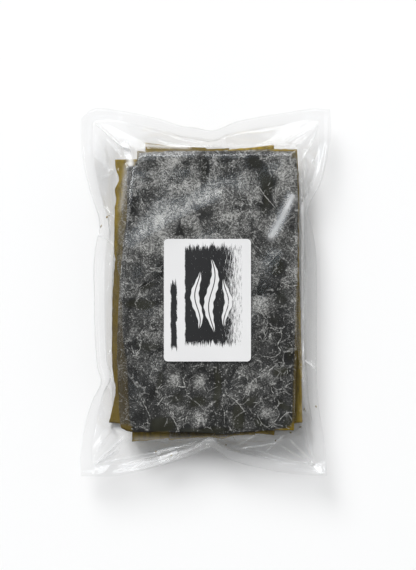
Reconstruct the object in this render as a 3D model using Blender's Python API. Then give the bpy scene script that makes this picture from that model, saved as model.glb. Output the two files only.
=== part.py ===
"""A flat clear pouch of dried kelp sheets, lying on its back with its label up.

The pouch is a rectangular film bag welded along all four sides. The kelp inside is a flat
rectangular stack. The film runs over the stack, falls from its upper edges to the welded
band like a hipped roof, and comes back to the floor from below in the same way. The stack
draws the film in, so the middle of each side is pinched and the four corners stay out as ears.
"""

import math

import bmesh
import bpy
from mathutils import Vector

MM = 0.001

# Stack of kelp, in millimetres
STACK_HALF_WIDTH = 75.5
STACK_HALF_LENGTH = 117.5
STACK_HEIGHT = 26.0
CROWN_DROP = 1.6
CROWN_REACH = 14.0

# Welded band round the pouch
BAND_WIDTH = 10.0
BAND_THICKNESS = 0.8
BAND_HEIGHT_MIDDLE = 19.0
BAND_HEIGHT_CORNER = 20.5
BAND_RISE_REACH = 75.0
BAND_TILT_DEG = 34.0
FULL_PINCH = 22.0

# Label stuck on the film
LABEL_WIDTH = 70.0
LABEL_LENGTH = 98.5
LABEL_THICKNESS = 0.4
LABEL_CORNER = 3.2
LABEL_CENTRE_X = 1.4
LABEL_CENTRE_Y = -6.2
LABEL_GAP = 0.3

# Outline of the pouch, corner to corner, in millimetres from its middle
LEFT_SIDE = [
    (-100, -147.5), (-101, -134), (-98, -112), (-95, -98), (-90.5, -85), (-84.5, -72.5),
    (-87.5, -60), (-89.5, -30), (-90, 0), (-90, 25), (-88, 41), (-85.3, 51),
    (-87, 63), (-92, 78), (-97, 96), (-100.5, 122), (-100, 146.5),
]
RIGHT_SIDE = [
    (97.5, -147.5), (97, -133), (94, -110), (91, -92), (89.3, -70), (89.3, -40),
    (89.6, 0), (89.2, 30), (86, 50), (82.6, 65), (86, 76), (92, 86),
    (96, 99), (100.5, 124), (100, 147),
]
BOTTOM_SIDE = [
    (-100, -147.5), (-76, -148), (-60, -145.5), (-36, -139.5), (-18, -134), (-3, -128),
    (4.5, -125.5), (11, -129), (19, -134.5), (40, -140.5), (70, -146), (97.5, -147.5),
]
TOP_SIDE = [
    (-100, 146.5), (-85, 148.5), (-66, 146), (-40, 140.5), (-20, 134), (-8, 132.5),
    (5, 130), (12, 132), (23, 137), (44, 141.5), (75, 146.5), (89, 148.5), (100, 147),
]

# Mesh rows and columns of the film, counted from the middle of the pouch outwards
STACK_COLUMNS = 20
STACK_ROWS = 32
ROOF_STEPS = 5
BAND_STEPS = 2
STACK_SHARE = 0.78
BAND_SHARE = 0.93


def lerp(a, b, t):
    return a + (b - a) * t


def clamp(value, low=0.0, high=1.0):
    return max(low, min(high, value))


def smooth(t):
    t = clamp(t)
    return t * t * (3 - 2 * t)


def spline(points, t):
    """Point at share t of the length of a smooth curve through points."""
    places = [Vector(p) for p in points]
    spans = [(b - a).length for a, b in zip(places, places[1:])]
    along = clamp(t) * sum(spans)
    i = 0
    while i < len(spans) - 1 and along > spans[i]:
        along -= spans[i]
        i += 1
    s = along / spans[i]
    before = places[max(i - 1, 0)]
    after = places[min(i + 2, len(places) - 1)]
    a, b = places[i], places[i + 1]
    out = (b - before) * 0.5 * spans[i] / max((a - before).length, spans[i])
    into = (after - a) * 0.5 * spans[i] / max((after - b).length, spans[i])
    return (
        a * (2 * s**3 - 3 * s**2 + 1)
        + out * (s**3 - 2 * s**2 + s)
        + b * (3 * s**2 - 2 * s**3)
        + into * (s**3 - s**2)
    )


class Side:
    """One side of the outline, and the inner edge of the welded band along it."""

    def __init__(self, points, inward):
        self.points = points
        self.inward = Vector(inward)
        self.start = Vector(points[0])
        self.end = Vector(points[-1])

    def outer(self, t):
        return spline(self.points, t)

    def pinch(self, t):
        """How far the side is drawn in from the straight line between its corners."""
        return max(0.0, (self.outer(t) - self.start.lerp(self.end, t)).dot(self.inward))

    def tilt(self, t):
        """The band stands up where it is drawn in, because a flat strip can't bend edgeways."""
        return math.radians(BAND_TILT_DEG) * clamp(self.pinch(t) / FULL_PINCH) ** 0.6

    def inner(self, t):
        along = (self.end - self.start).normalized()
        slide = along * BAND_WIDTH * (1 - 2 * t)
        return self.outer(t) + slide + self.inward * BAND_WIDTH * math.cos(self.tilt(t))


SIDES = {
    "left": Side(LEFT_SIDE, (1, 0)),
    "right": Side(RIGHT_SIDE, (-1, 0)),
    "bottom": Side(BOTTOM_SIDE, (0, 1)),
    "top": Side(TOP_SIDE, (0, -1)),
}


def patch(a, b, edge):
    """Point at shares a, b from -1 to 1 of the area inside the sides' outer or inner edges."""
    u, v = (a + 1) / 2, (b + 1) / 2
    left, right, bottom, top = (
        getattr(SIDES[name], edge) for name in ("left", "right", "bottom", "top")
    )
    across = left(v).lerp(right(v), u)
    along = bottom(u).lerp(top(u), v)
    corners = left(0).lerp(right(0), u).lerp(left(1).lerp(right(1), u), v)
    return across + along - corners


def share_between(value, low, high):
    return clamp((abs(value) - low) / (high - low))


def plan_point(a, b):
    """Where a film point lies in plan, and its shares of the roof and of the band."""
    roof = max(
        share_between(a, STACK_SHARE, BAND_SHARE), share_between(b, STACK_SHARE, BAND_SHARE)
    )
    band = max(share_between(a, BAND_SHARE, 1), share_between(b, BAND_SHARE, 1))
    on_stack = Vector(
        (a / STACK_SHARE * STACK_HALF_WIDTH, b / STACK_SHARE * STACK_HALF_LENGTH)
    )
    at_band = patch(clamp(a / BAND_SHARE, -1, 1), clamp(b / BAND_SHARE, -1, 1), "inner")
    place = on_stack.lerp(at_band, roof)
    if band > 0:
        place = at_band.lerp(patch(a, b, "outer"), band)
    return place, roof, band


def band_lift(a, b, band):
    """Height of the band's middle layer above the floor."""
    from_corner = math.hypot(100 * (1 - abs(a)), 148 * (1 - abs(b)))
    low = lerp(
        BAND_HEIGHT_CORNER, BAND_HEIGHT_MIDDLE, smooth(from_corner / BAND_RISE_REACH)
    )
    if abs(a) > abs(b):
        tilt = SIDES["left" if a < 0 else "right"].tilt((b + 1) / 2)
    else:
        tilt = SIDES["bottom" if b < 0 else "top"].tilt((a + 1) / 2)
    return low + band * BAND_WIDTH * math.sin(tilt)


def crown(place):
    """The stack's top is level in the middle and falls a little towards its edges."""
    to_edge = min(STACK_HALF_WIDTH - abs(place.x), STACK_HALF_LENGTH - abs(place.y))
    return STACK_HEIGHT - CROWN_DROP * (1 - smooth(to_edge / CROWN_REACH))


def film_point(a, b, upper):
    place, roof, band = plan_point(a, b)
    lift = band_lift(a, b, band)
    if upper:
        height = lerp(crown(place), lift + BAND_THICKNESS / 2, roof)
    else:
        height = lerp(0.0, lift - BAND_THICKNESS / 2, roof)
    return Vector((place.x, place.y, height)) * MM


def stations(inner_count):
    """Shares from -1 to 1 at which the film has a mesh line."""
    steps = [STACK_SHARE * i / inner_count for i in range(inner_count + 1)]
    steps += [lerp(STACK_SHARE, BAND_SHARE, (i + 1) / ROOF_STEPS) for i in range(ROOF_STEPS)]
    steps += [lerp(BAND_SHARE, 1, (i + 1) / BAND_STEPS) for i in range(BAND_STEPS)]
    return [-s for s in reversed(steps[1:])] + steps


def clear_scene():
    for obj in list(bpy.data.objects):
        bpy.data.objects.remove(obj, do_unlink=True)


def material(name, colour, roughness, alpha=1.0):
    mat = bpy.data.materials.new(name)
    mat.use_nodes = True
    shader = mat.node_tree.nodes["Principled BSDF"]
    shader.inputs["Base Color"].default_value = (*colour, 1)
    shader.inputs["Roughness"].default_value = roughness
    shader.inputs["Metallic"].default_value = 0
    shader.inputs["Alpha"].default_value = alpha
    return mat


def add_object(name, bm, mat, collection):
    mesh = bpy.data.meshes.new(name)
    bm.to_mesh(mesh)
    bm.free()
    mesh.materials.append(mat)
    obj = bpy.data.objects.new(name, mesh)
    collection.objects.link(obj)
    return obj


def centre_shift(points):
    """Moves the middle of the pouch's box onto the Z axis."""
    xs, ys = [p.x for p in points], [p.y for p in points]
    return Vector((-(min(xs) + max(xs)) / 2, -(min(ys) + max(ys)) / 2, 0))


def make_pouch(collection):
    columns, rows = stations(STACK_COLUMNS // 2), stations(STACK_ROWS // 2)
    bm = bmesh.new()
    bmesh.ops.create_grid(
        bm, x_segments=len(columns) - 1, y_segments=len(rows) - 1, size=1
    )
    lower = list(bm.verts)
    grown = bmesh.ops.extrude_face_region(bm, geom=list(bm.faces))
    upper = [v for v in grown["geom"] if isinstance(v, bmesh.types.BMVert)]
    ridges = []
    for verts, is_upper in ((lower, False), (upper, True)):
        for v in verts:
            a = columns[round((v.co.x + 1) / 2 * (len(columns) - 1))]
            b = rows[round((v.co.y + 1) / 2 * (len(rows) - 1))]
            v.co = film_point(a, b, is_upper)
            if math.isclose(abs(a), abs(b)) and abs(a) > STACK_SHARE - 0.01:
                ridges.append(v)
    # Four ridges run out from the stack's corners, and no face may bridge them.
    bmesh.ops.connect_verts(bm, verts=ridges)
    bmesh.ops.recalc_face_normals(bm, faces=bm.faces)
    shift = centre_shift([v.co for v in bm.verts])
    bmesh.ops.translate(bm, verts=bm.verts, vec=shift)
    film = material("clear_film", (0.86, 0.87, 0.86), 0.15, alpha=0.35)
    pouch = add_object("pouch", bm, film, collection)
    pouch.data.shade_smooth()
    pouch.data.set_sharp_from_angle(angle=math.radians(35))
    return shift


def make_label(collection, shift):
    bm = bmesh.new()
    bmesh.ops.create_cube(bm, size=1)
    bmesh.ops.scale(
        bm, verts=bm.verts, vec=Vector((LABEL_WIDTH, LABEL_LENGTH, LABEL_THICKNESS)) * MM
    )
    uprights = [e for e in bm.edges if abs(e.verts[0].co.z - e.verts[1].co.z) > 0]
    bmesh.ops.bevel(
        bm, geom=uprights, offset=LABEL_CORNER * MM, segments=6, profile=0.5, affect="EDGES"
    )
    rest_height = STACK_HEIGHT + LABEL_GAP + LABEL_THICKNESS / 2
    centre = Vector((LABEL_CENTRE_X, LABEL_CENTRE_Y, rest_height)) * MM
    bmesh.ops.translate(bm, verts=bm.verts, vec=centre + shift)
    paper = material("label_paper", (0.84, 0.84, 0.84), 0.45)
    add_object("label", bm, paper, collection)


def main():
    clear_scene()
    collection = bpy.data.collections.new("kelp_pouch")
    bpy.context.scene.collection.children.link(collection)
    shift = make_pouch(collection)
    make_label(collection, shift)


main()
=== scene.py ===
import math
import random

import bmesh
import bpy
import numpy as np
from mathutils import Matrix, Vector, noise
from mathutils.bvhtree import BVHTree


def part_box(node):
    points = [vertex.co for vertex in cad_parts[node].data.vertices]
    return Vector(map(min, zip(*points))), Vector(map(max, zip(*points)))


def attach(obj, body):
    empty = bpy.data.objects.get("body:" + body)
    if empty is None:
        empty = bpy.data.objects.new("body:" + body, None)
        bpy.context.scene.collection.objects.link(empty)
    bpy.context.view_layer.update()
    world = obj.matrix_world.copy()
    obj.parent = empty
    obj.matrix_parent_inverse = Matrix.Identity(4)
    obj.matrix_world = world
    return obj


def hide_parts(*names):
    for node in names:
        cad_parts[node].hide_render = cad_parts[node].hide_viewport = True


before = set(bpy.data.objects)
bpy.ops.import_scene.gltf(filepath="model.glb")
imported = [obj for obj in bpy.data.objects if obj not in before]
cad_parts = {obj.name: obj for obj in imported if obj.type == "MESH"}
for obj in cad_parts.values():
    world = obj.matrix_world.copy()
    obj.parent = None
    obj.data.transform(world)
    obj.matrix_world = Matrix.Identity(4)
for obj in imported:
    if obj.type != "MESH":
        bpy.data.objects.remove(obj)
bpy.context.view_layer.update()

mm = 0.001
scene = bpy.context.scene
noise.seed_set(5)             # without a seed, noise_vector gives other values on every run
pouchLow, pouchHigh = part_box("pouch")
labelLow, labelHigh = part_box("label")
print("pouch: frame loaded")


# Small helpers that the pieces share.

def mix(a, b, t):
    return a + (b - a) * t


def clamp(value, low=0.0, high=1.0):
    return max(low, min(high, value))


def ease(t):
    t = clamp(t)
    return t * t * (3 - 2 * t)


def curvePoint(points, t):
    # point at share t of the length of a smooth curve through the points
    places = [Vector(p) for p in points]
    spans = [(b - a).length for a, b in zip(places, places[1:])]
    along = clamp(t) * sum(spans)
    i = 0
    while i < len(spans) - 1 and along > spans[i]:
        along -= spans[i]
        i += 1
    s = along / spans[i]
    before, after = places[max(i - 1, 0)], places[min(i + 2, len(places) - 1)]
    a, b = places[i], places[i + 1]
    out = (b - before) * 0.5 * spans[i] / max((a - before).length, spans[i])
    into = (after - a) * 0.5 * spans[i] / max((after - b).length, spans[i])
    return (a * (2 * s**3 - 3 * s**2 + 1) + out * (s**3 - 2 * s**2 + s)
            + b * (3 * s**2 - 2 * s**3) + into * (s**3 - s**2))


def sidesOf(shape):
    # the points of its left, right, bottom and top: the last two run from corner to corner
    left, right = shape["left"], shape["right"]
    bottom = [left[0]] + shape.get("bottom", []) + [right[0]]
    return left, right, bottom, [left[-1]] + shape.get("top", []) + [right[-1]]


def patchPoint(sides, u, v):
    # point inside four sides: left and right run upwards, bottom and top run to the right
    left, right, bottom, top = sides
    across = left(v).lerp(right(v), u)
    along = bottom(u).lerp(top(u), v)
    corners = left(0).lerp(right(0), u).lerp(left(1).lerp(right(1), u), v)
    return across + along - corners


def dropOnto(tree, x, y):
    # the place on a surface straight below a point high over it, or nothing
    return tree.ray_cast(Vector((x, y, 0.1)), Vector((0, 0, -1)))[0]


def putInOrder(bm):
    # extruding makes some edges and faces in an order that changes from run to run, and the
    # cloth solver's sums depend on it
    bm.verts.index_update()
    count = len(bm.verts)

    def order(part):
        ends = [v.index for v in part.verts]
        return min(ends) * count + max(ends)

    bm.edges.sort(key=order)
    bm.faces.sort(key=order)


def newPiece(name, bm, material, smooth=True):
    mesh = bpy.data.meshes.new(name)
    bm.to_mesh(mesh)
    bm.free()
    mesh.materials.append(material)
    if smooth:
        mesh.shade_smooth()
    piece = bpy.data.objects.new(name, mesh)
    scene.collection.objects.link(piece)
    return piece


def giveValues(piece, name, values):
    # a number for each vertex, or one for them all, that the material reads
    layer = piece.data.attributes.new(name, "FLOAT", "POINT")
    layer.data.foreach_set("value", np.full(len(piece.data.vertices), values, np.float32))


def addNode(tree, kind, inputs=None, **settings):
    made = tree.nodes.new(kind)
    for name, value in settings.items():
        setattr(made, name, value)
    for name, value in (inputs or {}).items():
        if isinstance(value, bpy.types.NodeSocket):
            tree.links.new(value, made.inputs[name])
        else:
            made.inputs[name].default_value = value
    return made


def calc(tree, operation, *values):
    made = addNode(tree, "ShaderNodeMath", dict(enumerate(values)), operation=operation)
    return made.outputs[0]


def vectorCalc(tree, operation, a, b):
    # b is a number for SCALE and a vector for the others
    second = "Scale" if operation == "SCALE" else 1
    made = addNode(tree, "ShaderNodeVectorMath", {0: a, second: b}, operation=operation)
    return made.outputs["Value" if operation == "DOT_PRODUCT" else 0]


def stretched(tree, vector, scale, turn=0.0):
    made = addNode(tree, "ShaderNodeMapping", {
        "Vector": vector, "Rotation": (0, 0, turn), "Scale": scale})
    return made.outputs[0]


def readValue(tree, name):
    return addNode(tree, "ShaderNodeAttribute", attribute_name=name).outputs["Fac"]


def ramp(tree, value, low, high, lowest=0.0, highest=1.0):
    # smooth step from one value to another
    made = addNode(tree, "ShaderNodeMapRange", interpolation_type="SMOOTHSTEP", inputs={
        "Value": value, "From Min": low, "From Max": high, "To Min": lowest, "To Max": highest})
    return made.outputs["Result"]


def mixColours(tree, share, a, b):
    made = addNode(tree, "ShaderNodeMix", {0: share, 6: a, 7: b}, data_type="RGBA")
    return made.outputs[2]


def noiseAt(tree, vector, scale, detail=2.0, roughness=0.5):
    made = addNode(tree, "ShaderNodeTexNoise", {
        "Vector": vector, "Scale": scale, "Detail": detail, "Roughness": roughness})
    return made.outputs


def cellsAt(tree, vector, scale, feature="F1"):
    made = addNode(tree, "ShaderNodeTexVoronoi", {
        "Vector": vector, "Scale": scale, "Randomness": 1}, feature=feature)
    return made.outputs


def bumpFrom(tree, height, strength, distance):
    made = addNode(tree, "ShaderNodeBump", {
        "Height": height, "Strength": strength, "Distance": distance})
    return made.outputs[0]


def newMaterial(name):
    material = bpy.data.materials.new(name)
    material.use_nodes = True
    tree = material.node_tree
    tree.nodes.clear()
    out = addNode(tree, "ShaderNodeOutputMaterial")
    place = addNode(tree, "ShaderNodeTexCoord").outputs["Object"]
    return material, tree, out, place


def newGroup(name, takes, gives):
    # takes holds each input's name, kind and starting value, gives the outputs' names
    tree = bpy.data.node_groups.new(name, "ShaderNodeTree")
    for socketName, kind, start in takes:
        socket = tree.interface.new_socket(socketName, in_out="INPUT", socket_type="NodeSocket" + kind)
        if start is not None:
            socket.default_value = start
    for socketName in gives:
        tree.interface.new_socket(socketName, in_out="OUTPUT", socket_type="NodeSocketFloat")
    return tree, tree.nodes.new("NodeGroupInput").outputs, tree.nodes.new("NodeGroupOutput").inputs


# The clear film: a flat three-side-seal pouch, drawn in by what it holds.

film = {
    "width": 0.200,           # cut size of the pouch
    "length": 0.297,
    "band": 0.010,            # welded band all round
    "bandGap": 0.0003,        # between the two films in the band
    "cell": 0.0025,           # mesh size while the film settles
    "bandHeightMiddle": 0.019,     # off the floor, in the middle of a side
    "bandHeightCorner": 0.0205,
    "bandRiseReach": 0.075,   # how far from a corner its height lasts
    "bandTilt": 34,           # degrees, where the stack draws the band in
    "fullPinch": 0.022,       # how far in it is drawn where it stands up most
    "tiltEase": 0.6,          # below 1, it stands up soon after it leaves a corner
    "stackHeight": 0.0247,
    "floorGap": 0.0001,       # under the film
    "cornerRound": 0.012,     # the top left corner is cut round
    "stackHalfWidth": 0.0725,
    "stackHalfLength": 0.1145,
    # the stack's plan where the film rests on it, and at its foot, anticlockwise in millimetres
    "stackTop": [(-68, -112), (72, -113), (74, 114), (-54, 114), (-61.5, 101), (-64, 50), (-68, -5)],
    "stackFoot": [(-77, -112), (77, -115), (76, 118), (-50, 119), (-73, 106), (-73, 50), (-75, -5)],
    "edgeRound": 0.004,       # how softly the film turns over the stack's edge
    "solver": {
        "quality": 6, "mass": 0.05, "air_damping": 2, "bending_stiffness": 0.02,
        "tension_stiffness": 120, "compression_stiffness": 120, "shear_stiffness": 60,
        "tension_damping": 8, "compression_damping": 8, "shear_damping": 8,
        "uniform_pressure_force": -2.0,    # inside, below the air outside
    },
    "solverScale": 10,        # the film settles at ten times its size, where the solver is steadier
    "clearance": 0.004,       # that the solver keeps, at that size
    "steps": 30,              # frames that it settles for
    "sag": 0.75,              # how much of the top sheet's swell the film follows
    "sagReach": 0.4,          # and how far out over the roof it does
    # the outline in millimetres from the middle: the left and right sides' points upwards, and
    # those of the bottom and top between them
    "left": [(-100, -147.5), (-101, -134), (-98, -112), (-95, -98), (-90.5, -85), (-84.5, -72.5),
             (-87.5, -60), (-89.5, -30), (-90, 0), (-90, 25), (-88, 41), (-85.5, 51), (-87, 63),
             (-92, 78), (-97, 96), (-100.5, 122), (-100, 146.5)],
    "right": [(97.5, -147.5), (97, -133), (94, -110), (91, -92), (89.5, -70), (89.5, -40), (89.5, 0),
              (89, 30), (86, 50), (82.5, 65), (86, 76), (92, 86), (96, 99), (100.5, 124),
              (100, 147)],
    "bottom": [(-76, -148), (-60, -145.5), (-36, -139.5), (-18, -134), (-3, -128), (4.5, -125.5),
               (11, -129), (19, -134.5), (40, -140.5), (70, -146)],
    "top": [(-85, 148.5), (-66, 146), (-40, 140.5), (-20, 134), (-8, 132.5), (5, 130), (12, 132),
            (23, 137), (44, 141.5), (75, 146.5), (89, 148.5)],
    # creases: points in millimetres, then half-width and height of the ridge in millimetres,
    # and how milky the film has gone along it, which also paints glare and light lines on the film; a
    # few have no height and are only milky: these are painted glare, painted reflection streaks and
    # painted light over the shade beside and below the stack
    "creases": [
        ([(-89, 136.5), (-80, 128.5), (-73, 122), (-67, 117.5), (-56, 114)], 1.4, 1.3, 1.0),
        ([(-67, 117), (-65, 111), (-63, 105)], 2.0, 0.9, 0.7),
        ([(-57, 107), (-40, 108), (-20, 109), (-2, 109.5)], 4.5, 1.1, 0.0),
        ([(-84, 92), (-76, 96), (-70, 100)], 1.2, 0.5, 0.4),
        ([(-84, 70), (-79, 66), (-74, 60)], 1.0, 0.6, 0.6),
        ([(-40, 124), (-20, 119), (0, 118.5), (12, 119)], 1.0, 0.4, 0.25),
        ([(91, 135.5), (78, 128), (64, 120)], 1.1, 0.7, 0.5),
        ([(91, 135.5), (80, 122), (70, 116)], 1.0, 0.5, 0.35),
        ([(91, 135.5), (85, 119), (76, 103)], 1.1, 0.7, 0.5),
        ([(87.5, 108), (86, 103.5)], 1.0, 0.5, 1.0),
        ([(86.5, 89), (80, 80), (73.5, 71)], 0.9, 0.7, 0.7),
        ([(80, -55), (84, -57.5), (88, -62)], 1.6, 0.6, 1.2),
        ([(81, 56), (82, 30), (81, 8)], 1.0, 0.5, 0.5),
        ([(-88, 47), (-79, 43), (-73, 36)], 1.2, 0.6, 0.8),
        ([(75, 78), (66, 59), (54, 37)], 6.5, 0.8, 0.0),
        ([(71, 80), (62, 62), (50, 40)], 5.5, 0.0, 1.1),
        ([(-66, 36), (-40, 53), (-16, 66), (5, 77), (30, 88)], 15.0, 0.0, 0.1),
        ([(-57, 111), (-40, 111.5), (-20, 112), (-2, 112)], 3.5, 0.0, 0.45),
        ([(76.5, 98), (78, 60), (78, 0), (78.5, -60), (79.5, -104)], 2.4, 0.4, 1.0),
        ([(81, 95), (81.5, 0), (83, -100)], 5.0, 0.0, 0.25),
        ([(-60, -118), (0, -118), (56, -115)], 3.5, 0.0, 0.5),
        ([(-67, 121), (-62, 111), (-60, 100)], 4.5, 0.0, 2.2),
        ([(-50, 118.5), (-34, 117.5), (-10, 116.5)], 2.5, 0.0, 1.2),
        ([(79.5, 116), (80, 96), (81, 72)], 3.0, 0.0, 0.8),
        ([(-87, -138), (-77, -131), (-69, -125)], 4.0, 0.0, 0.8),
        ([(80, 20), (80, -40), (81, -106)], 3.0, 0.0, 0.7),
        ([(-38, -135), (-30, -131), (-22, -127)], 4.0, 0.0, 1.0),
        ([(83, -136), (90, -142), (95, -146)], 4.0, 0.0, 1.0),
        ([(-64, 104), (-65.5, 85), (-69, 62)], 3.5, 0.5, 0.55),
        ([(-64, 32), (-40, 48), (-16.5, 61), (5, 72), (30, 83)], 9.0, 0.8, 0.0),
        ([(-76, -65), (-72, -77)], 0.9, 0.6, 0.5),
        ([(-89.5, -139), (-76, -126), (-64, -114.5)], 1.3, 0.8, 1.0),
        ([(-89.5, -139), (-77, -131), (-68, -124)], 1.2, 0.6, 0.9),
        ([(-83, -133), (-72, -123.5), (-66, -117)], 2.6, 0.3, 0.45),
        ([(-89.5, -139), (-62, -133), (-41, -129), (-23, -125), (-9.5, -122), (2.5, -120.5)],
         0.8, 0.4, 0.6),
        ([(87.5, -138.5), (77, -128), (66.5, -117)], 1.0, 0.8, 0.6),
        ([(87.5, -138.5), (73, -131), (59.5, -122.5)], 0.9, 0.6, 0.45),
        ([(87.5, -138.5), (82, -122), (79, -105), (78, -86)], 2.4, 0.7, 0.3),
        ([(87.5, -138.5), (70, -136), (56, -132.5), (41, -127), (23.5, -125.5)], 0.8, 0.4, 0.4),
        ([(48.5, -128.5), (57, -120), (65, -113.5)], 0.8, 0.6, 0.6),
        ([(24.5, -124), (35, -118.5), (45.5, -113)], 0.9, 0.5, 0.45),
        ([(25.5, -126), (42, -124), (58, -121), (64.5, -116)], 0.8, 0.5, 0.45),
    ],
    "sideSteps": 200,         # that a side is looked up in
    "creaseSteps": 24,
    "fineEdge": 0.0008,       # no edge is cut that is shorter than this
    "fineCrease": 3,          # narrower creases get a finer mesh, in millimetres
    "creaseEnds": (0.06, 0.2),     # the shares over which a crease starts and fades out
    "creaseReach": 3.2,       # how far out a crease is worked, in its half-widths
    "milkAndGlareWidth": 0.6,        # of the crease's own, for its whitening and painted glare
    # corners of the band that curl up: where from, which way, how steeply and how far
    "curls": [((87.5, -138.5), (0.78, -0.63), 0.15, 18), ((-89.5, -139.5), (0.70, -0.71), 0.13, 11)],
}


class bandSide:
    # one side of the outline, with the inner edge of its welded band
    def __init__(self, points, inward):
        self.points = [Vector(p) * mm for p in points]
        self.inward = Vector(inward)
        self.start, self.end = self.points[0], self.points[-1]
        self.steps = film["sideSteps"]
        self.table = [curvePoint(self.points, i / self.steps) for i in range(self.steps + 1)]

    def outer(self, t):
        place = clamp(t) * self.steps
        i = min(int(place), self.steps - 1)
        return self.table[i].lerp(self.table[i + 1], place - i)

    def tilt(self, t):
        # the band stands up where it is drawn in, because a flat strip can't bend edgeways
        drawn = (self.outer(t) - self.start.lerp(self.end, t)).dot(self.inward)
        return math.radians(film["bandTilt"]) * clamp(drawn / film["fullPinch"]) ** film["tiltEase"]

    def inner(self, t):
        along = (self.end - self.start).normalized()
        slide = along * film["band"] * (1 - 2 * t)
        return self.outer(t) + slide + self.inward * film["band"] * math.cos(self.tilt(t))


inwards = [(1, 0), (-1, 0), (0, 1), (0, -1)]
bandSides = [bandSide(points, inward) for points, inward in zip(sidesOf(film), inwards)]


def filmShares(flat):
    # how far a flat film point is past the stack, and past the band's inner edge, from 0 to 1
    x, y = abs(flat.x), abs(flat.y)
    innerX, innerY = film["width"] / 2 - film["band"], film["length"] / 2 - film["band"]
    roof = max((x - film["stackHalfWidth"]) / (innerX - film["stackHalfWidth"]),
               (y - film["stackHalfLength"]) / (innerY - film["stackHalfLength"]))
    band = max((x - innerX) / film["band"], (y - innerY) / film["band"])
    return clamp(roof), clamp(band)


def filmPlace(flat, upper):
    # where a point of the flat film starts before the film settles
    a, b = flat.x / (film["width"] / 2), flat.y / (film["length"] / 2)
    roof, band = filmShares(flat)
    innerA = clamp(a / (1 - 2 * film["band"] / film["width"]), -1, 1)
    innerB = clamp(b / (1 - 2 * film["band"] / film["length"]), -1, 1)
    atBand = patchPoint([s.inner for s in bandSides], (innerA + 1) / 2, (innerB + 1) / 2)
    place = Vector((flat.x, flat.y)).lerp(atBand, roof)
    if band > 0:
        place = atBand.lerp(patchPoint([s.outer for s in bandSides], (a + 1) / 2, (b + 1) / 2), band)
    fromCorner = math.hypot(film["width"] / 2 * (1 - abs(a)), film["length"] / 2 * (1 - abs(b)))
    inX = film["cornerRound"] - film["width"] / 2 - flat.x
    inY = film["cornerRound"] - film["length"] / 2 + flat.y
    if inX > 0 and inY > 0:
        shrink = 1 - max(inX, inY) / math.hypot(inX, inY)
        place += Vector((inX, -inY)) * shrink
    lift = mix(film["bandHeightCorner"], film["bandHeightMiddle"],
               ease(fromCorner / film["bandRiseReach"]))
    if abs(a) > abs(b):
        tilt = bandSides[0 if a < 0 else 1].tilt((b + 1) / 2)
    else:
        tilt = bandSides[2 if b < 0 else 3].tilt((a + 1) / 2)
    lift += band * film["band"] * math.sin(tilt)
    gap = film["bandGap"] / 2
    inner, outer = (film["stackHeight"], lift + gap) if upper else (film["floorGap"], lift - gap)
    return Vector((place.x, place.y, mix(inner, outer, roof)))


def stackSolid():
    # the block that the film settles over; it is removed afterwards
    bm = bmesh.new()
    top = [bm.verts.new((x * mm, y * mm, film["stackHeight"])) for x, y in film["stackTop"]]
    foot = [bm.verts.new((x * mm, y * mm, 0)) for x, y in film["stackFoot"]]
    bm.faces.new(top)
    bm.faces.new(foot[::-1])
    for i in range(len(top)):
        j = (i + 1) % len(top)
        bm.faces.new((foot[i], foot[j], top[j], top[i]))
    bmesh.ops.bevel(bm, geom=bm.edges, offset=film["edgeRound"], segments=4, profile=0.5,
                    affect="EDGES", material=-1)
    return bm


def settleFilm(piece, flatPlaces):
    # lets the film find its own folds: its springs have the flat pouch's lengths, its band is held
    big = film["solverScale"]
    for v in piece.data.vertices:
        v.co *= big
    piece.shape_key_add(name="start")
    flatKey = piece.shape_key_add(name="flat")
    for point, flat in zip(flatKey.data, flatPlaces):
        point.co = flat * big
    flatKey.value = 0
    held = piece.vertex_groups.new(name="held")
    for v, flat in zip(piece.data.vertices, flatPlaces):
        roof, band = filmShares(flat)
        if band > 0 or (roof == 0 and flat.z < 0):
            held.add([v.index], 1, "REPLACE")
    cloth = piece.modifiers.new("settle", "CLOTH")
    settings = cloth.settings
    for name, value in film["solver"].items():
        setattr(settings, name, value)
    settings.effector_weights.gravity = 0
    settings.vertex_group_mass = "held"
    settings.rest_shape_key = flatKey
    settings.use_pressure = True
    cloth.collision_settings.use_collision = True
    cloth.collision_settings.distance_min = film["clearance"]
    cloth.collision_settings.collision_quality = 3
    block = newPiece("stackBlock", stackSolid(), bpy.data.materials.new("none"))
    for v in block.data.vertices:
        v.co *= big
    block.modifiers.new("hit", "COLLISION")
    block.collision.thickness_outer = film["clearance"]
    block.collision.cloth_friction = 2
    steps = film["steps"]
    cloth.point_cache.frame_start, cloth.point_cache.frame_end = 1, steps
    for step in range(1, steps + 1):
        scene.frame_set(step)
    graph = bpy.context.evaluated_depsgraph_get()
    settled = bpy.data.meshes.new_from_object(piece.evaluated_get(graph))
    places = [v.co / big for v in settled.vertices]
    bpy.data.objects.remove(block)
    piece.modifiers.remove(cloth)
    piece.shape_key_clear()
    scene.frame_set(1)
    return places


def nearestOnLine(place, line):
    # distance from a line through points, and how far along it, from 0 to 1
    best, along = 1e9, 0
    for i, (a, b) in enumerate(zip(line, line[1:])):
        run = b - a
        share = clamp((place - a).dot(run) / run.length_squared)
        gap = (place - a - run * share).length
        if gap < best:
            best, along = gap, (i + share) / (len(line) - 1)
    return best, along


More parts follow.
